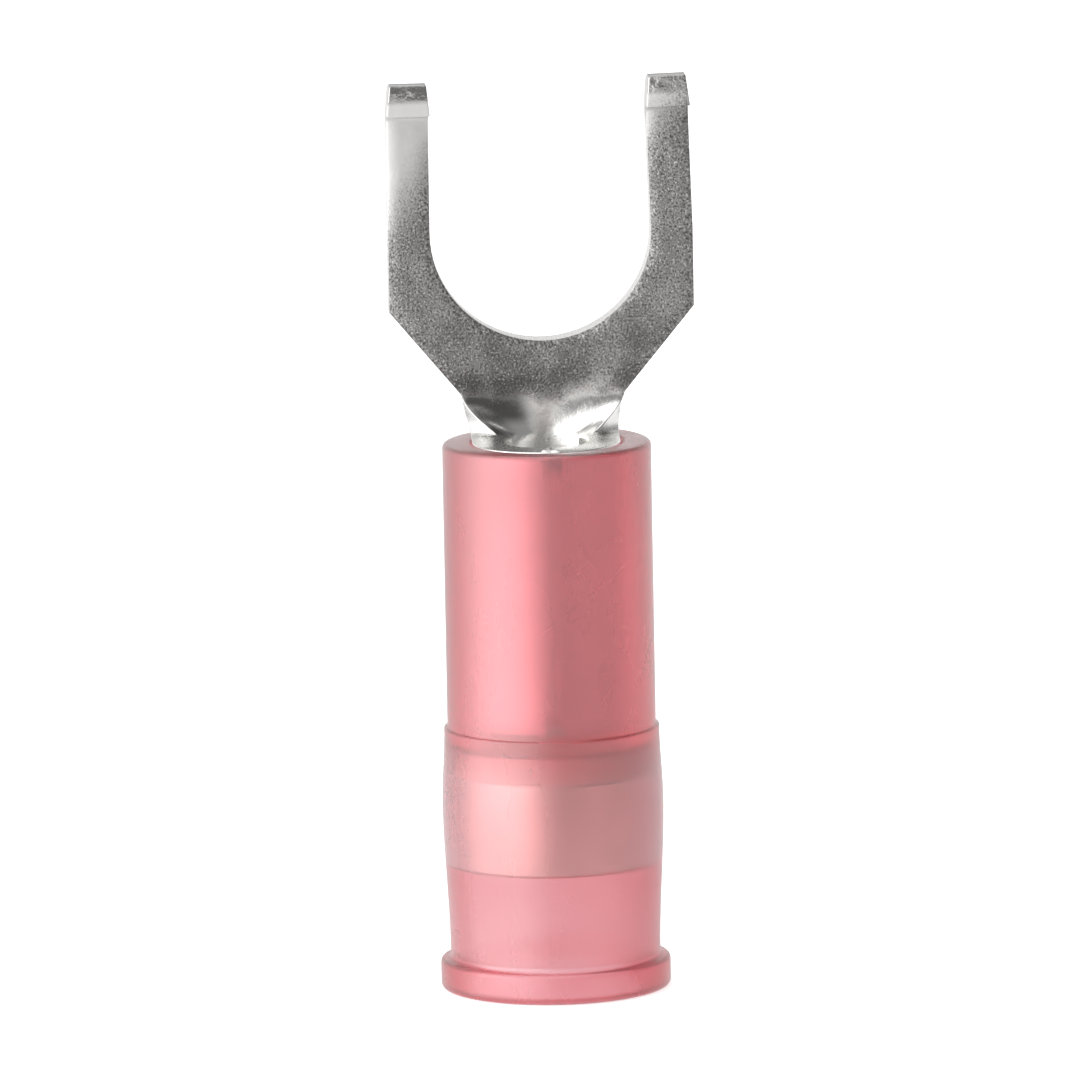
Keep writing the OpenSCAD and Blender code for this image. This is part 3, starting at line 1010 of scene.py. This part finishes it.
class TERMINAL_OT_insulator(bpy.types.Operator):
    """Make the moulded nylon insulator, in place of its CAD node"""

    bl_idname = "terminal.insulator"
    bl_label = "Nylon insulator"

    def execute(self, context):
        scene = context.scene
        s = in_mm(scene.terminal_insulator)
        tube = in_mm(scene.terminal_sleeve)
        fork = in_mm(scene.terminal_fork)
        flange_r = INSULATOR_BOX[1].x / MM
        barrel_z = MOUTH_Z - fork.barrel_l
        sleeve_r = tube.bore_d / 2 + tube.wall
        lip_z = SLEEVE_END_Z + tube.straight_l
        front_bore_r = fork.wire_bore_d / 2 + fork.sheet_t + s.clearance
        front_r = front_bore_r + s.front_wall
        shoulder_r = front_r + s.shoulder_step
        shoulder_z = barrel_z - s.shoulder_gap
        pocket_r = sleeve_r + s.clearance
        belly_r = pocket_r + s.rear_wall
        belly_z = SLEEVE_END_Z + BELLY * tube.straight_l
        entry_bore_r = tube.bore_d / 2
        entry_r = entry_bore_r + s.entry_wall
        step_z = SLEEVE_END_Z - s.clearance
        pocket_top = lip_z + tube.lip_h + s.clearance
        tilt = math.atan2(tube.lip_taper, tube.lip_h)
        ledge_r = sleeve_r - tube.lip_taper + s.clearance / math.cos(tilt) - s.clearance * math.tan(tilt)
        profile = [(entry_bore_r, 0.0, s.edge_r)]
        profile += [(entry_bore_r, step_z, s.inner_r), (pocket_r, step_z, s.inner_r)]
        profile += [
            (pocket_r, lip_z + s.clearance * math.tan(tilt / 2), s.inner_r),
            (ledge_r, pocket_top, s.inner_r), (front_bore_r, pocket_top, s.inner_r),
        ]
        profile += [(front_bore_r, MOUTH_Z, s.edge_r), (front_r, MOUTH_Z, s.edge_r)]
        profile += [(front_r, shoulder_z, s.inner_r), (shoulder_r, shoulder_z, s.shoulder_step / 2)]
        profile += swell(shoulder_r, shoulder_z - s.shoulder_step, belly_r, belly_z)
        profile += swell(belly_r, belly_z, entry_r, s.flange_t + s.edge_r)[1:]
        profile += [(entry_r, s.flange_t, s.edge_r), (flange_r, s.flange_t, s.edge_r)]
        profile += [(flange_r, 0.0, s.edge_r)]
        obj = turned("nylon_insulator", profile, nylon_material(scene.terminal_finish))
        seat(obj, "insulator")
        return {"FINISHED"}


# Stage, in metres but for the camera's sensor

FLOOR_HALF_W = 0.40
FLOOR_FRONT = -0.045
FLOOR_BACK = 0.70
FLOOR_DROP = 0.00002
AIM = Vector((0.0, 0.0, 10.64 * MM))
AIM_SHIFT = -0.195 * MM
SENSOR = 36.0
SOFTBOX_SIZE = (0.22, 0.36)
SOFTBOX_AT = Vector((-0.29, -0.11, 0.12))
CLIP_NEAR = 0.01
CLIP_FAR = 10.0
# How dark the floor's clouds are, as a share of its colour
FLOOR_SHADE = 0.985
# The bright wall's two sides, as turns from the camera's side in degrees: where it starts and is full
WALL_NEAR = (2, -46)
WALL_FAR = (-125, -82)
# Parts of a direction at which the rest of the studio's light starts to change and is changed
TABLE_X = (0.20, 0.65)
HORIZON_Z = (-0.10, 0.05)
SWEEP_Z = (0.25, 0.60)
FRONT_Y = (0.25, -0.10)
OVERHEAD_X = (-0.10, 0.50)
OVERHEAD_Z = (0.55, 0.80)
GROUND_Z = (-0.26, -0.42)
# Share of the overhead light that reaches the right
OVERHEAD_FADE = 0.12


def floor_material(look):
    """Pale paper, lifted to white for the camera alone."""
    material, tree, shader, where = new_material("pale_floor")
    marks = place_group(tree, grain_group(), {"Vector": where, "Grain scale": 3000.0, "Cloud scale": 40.0})
    shade = [c * FLOOR_SHADE for c in look.floor]
    feed(tree, shader.inputs["Base Color"], blended(tree, marks["Clouds"], look.floor, shade))
    shader.inputs["Roughness"].default_value = 0.9
    shader.inputs["Specular IOR Level"].default_value = 0.1
    seen = tree.nodes.new("ShaderNodeLightPath").outputs["Is Camera Ray"]
    lift = times(tree, seen, look.floor_glow)
    glow = add(tree, "ShaderNodeEmission", {"Color": (1, 1, 1, 1), "Strength": lift})
    both = add(tree, "ShaderNodeAddShader", {0: shader.outputs["BSDF"], 1: glow.outputs["Emission"]})
    feed(tree, output_of(tree).inputs["Surface"], both.outputs["Shader"])
    return material


def studio_world(look):
    """A white sweep behind and below, a bright wall on the left and a dark room on the right."""
    world = bpy.data.worlds.new("studio")
    world.use_nodes = True
    tree = world.node_tree
    tree.nodes.clear()
    direction = tree.nodes.new("ShaderNodeTexCoord").outputs["Generated"]
    towards = split(tree, direction)
    x, y, z = towards["X"], towards["Y"], towards["Z"]
    table = mapped(tree, x, *TABLE_X, look.near_level, look.right_level)
    shaded = between(tree, mapped(tree, z, *HORIZON_Z), table, look.dark_level)
    sweep = mapped(tree, z, *SWEEP_Z, 1.0, look.ceiling_level)
    round_about = between(tree, mapped(tree, y, *FRONT_Y), sweep, shaded)
    turn = sums(tree, "ARCTAN2", x, times(tree, y, -1.0))
    sides = [mapped(tree, turn, *map(math.radians, side)) for side in (WALL_NEAR, WALL_FAR)]
    walled = between(tree, times(tree, *sides), round_about, look.left_level)
    overhead = mapped(tree, x, *OVERHEAD_X, look.top_level, OVERHEAD_FADE * look.top_level)
    upper = between(tree, mapped(tree, z, *OVERHEAD_Z), walled, overhead)
    seen = between(tree, mapped(tree, z, *GROUND_Z), upper, 1.0)
    path = tree.nodes.new("ShaderNodeLightPath").outputs
    level = between(tree, path["Is Camera Ray"], seen, 1.0)
    back = add(tree, "ShaderNodeBackground", {"Color": (1, 1, 1, 1), "Strength": level})
    feed(tree, tree.nodes.new("ShaderNodeOutputWorld").inputs["Surface"], back.outputs["Background"])
    return world


class TERMINAL_OT_stage(bpy.types.Operator):
    """Make the floor, the studio light and the camera"""

    bl_idname = "terminal.stage"
    bl_label = "Stage"

    def execute(self, context):
        scene = context.scene
        look = scene.terminal_stage
        mesh = bpy.data.meshes.new("floor")
        corners = [
            (-FLOOR_HALF_W, FLOOR_FRONT, -FLOOR_DROP), (FLOOR_HALF_W, FLOOR_FRONT, -FLOOR_DROP),
            (FLOOR_HALF_W, FLOOR_BACK, -FLOOR_DROP), (-FLOOR_HALF_W, FLOOR_BACK, -FLOOR_DROP),
        ]
        mesh.from_pydata(corners, [], [(0, 1, 2, 3)])
        floor = new_object("floor", mesh)
        floor.data.materials.append(floor_material(look))
        # The world stands in for the floor in all but the picture of the floor itself
        floor.visible_diffuse = False
        floor.visible_glossy = False
        floor.visible_transmission = False
        floor.visible_shadow = False

        scene.world = studio_world(look)
        lamp = bpy.data.lights.new("softbox", "AREA")
        lamp.shape = "RECTANGLE"
        lamp.size, lamp.size_y = SOFTBOX_SIZE
        lamp.energy = look.softbox_power
        softbox = new_object("softbox", lamp)
        softbox.location = SOFTBOX_AT
        softbox.rotation_euler = (AIM - SOFTBOX_AT).to_track_quat("-Z", "Y").to_euler()

        lens = bpy.data.cameras.new("camera")
        lens.lens = look.lens
        lens.sensor_width = SENSOR
        lens.clip_start = CLIP_NEAR
        lens.clip_end = CLIP_FAR
        camera = new_object("camera", lens)
        back = Vector((
            math.sin(look.azimuth) * math.cos(look.elevation),
            -math.cos(look.azimuth) * math.cos(look.elevation),
            math.sin(look.elevation),
        ))
        turn = (-back).to_track_quat("-Z", "Y").to_matrix() @ Matrix.Rotation(-look.roll, 3, "Z")
        camera.rotation_euler = turn.to_euler()
        camera.location = AIM + back * look.distance + turn @ Vector((AIM_SHIFT, 0, 0))
        scene.camera = camera
        scene.view_settings.view_transform = "Standard"
        return {"FINISHED"}


class VIEW3D_PT_terminal(bpy.types.Panel):
    """Makes the terminal piece by piece"""

    bl_label = "Fork terminal"
    bl_space_type = "VIEW_3D"
    bl_region_type = "UI"
    bl_category = "Terminal"

    def draw(self, context):
        for operator in OPERATORS:
            self.layout.operator(operator.bl_idname)
        for key in GROUPS:
            box = self.layout.box()
            group = getattr(context.scene, key)
            for name in group.__annotations__:
                box.prop(group, name)


GROUPS = {
    "terminal_fork": ForkSizes,
    "terminal_sleeve": SleeveSizes,
    "terminal_insulator": InsulatorSizes,
    "terminal_finish": Finishes,
    "terminal_stage": StageLook,
}
OPERATORS = (TERMINAL_OT_stage, TERMINAL_OT_fork, TERMINAL_OT_sleeve, TERMINAL_OT_insulator)
CLASSES = (*GROUPS.values(), *OPERATORS, VIEW3D_PT_terminal)


def register():
    for cls in CLASSES:
        bpy.utils.register_class(cls)
    for key, group in GROUPS.items():
        setattr(bpy.types.Scene, key, bpy.props.PointerProperty(type=group))


def unregister():
    for key in GROUPS:
        delattr(bpy.types.Scene, key)
    for cls in reversed(CLASSES):
        bpy.utils.unregister_class(cls)


def main():
    register()
    bpy.ops.terminal.stage()
    bpy.ops.terminal.fork()
    bpy.ops.terminal.sleeve()
    bpy.ops.terminal.insulator()


if __name__ == "__main__":
    main()
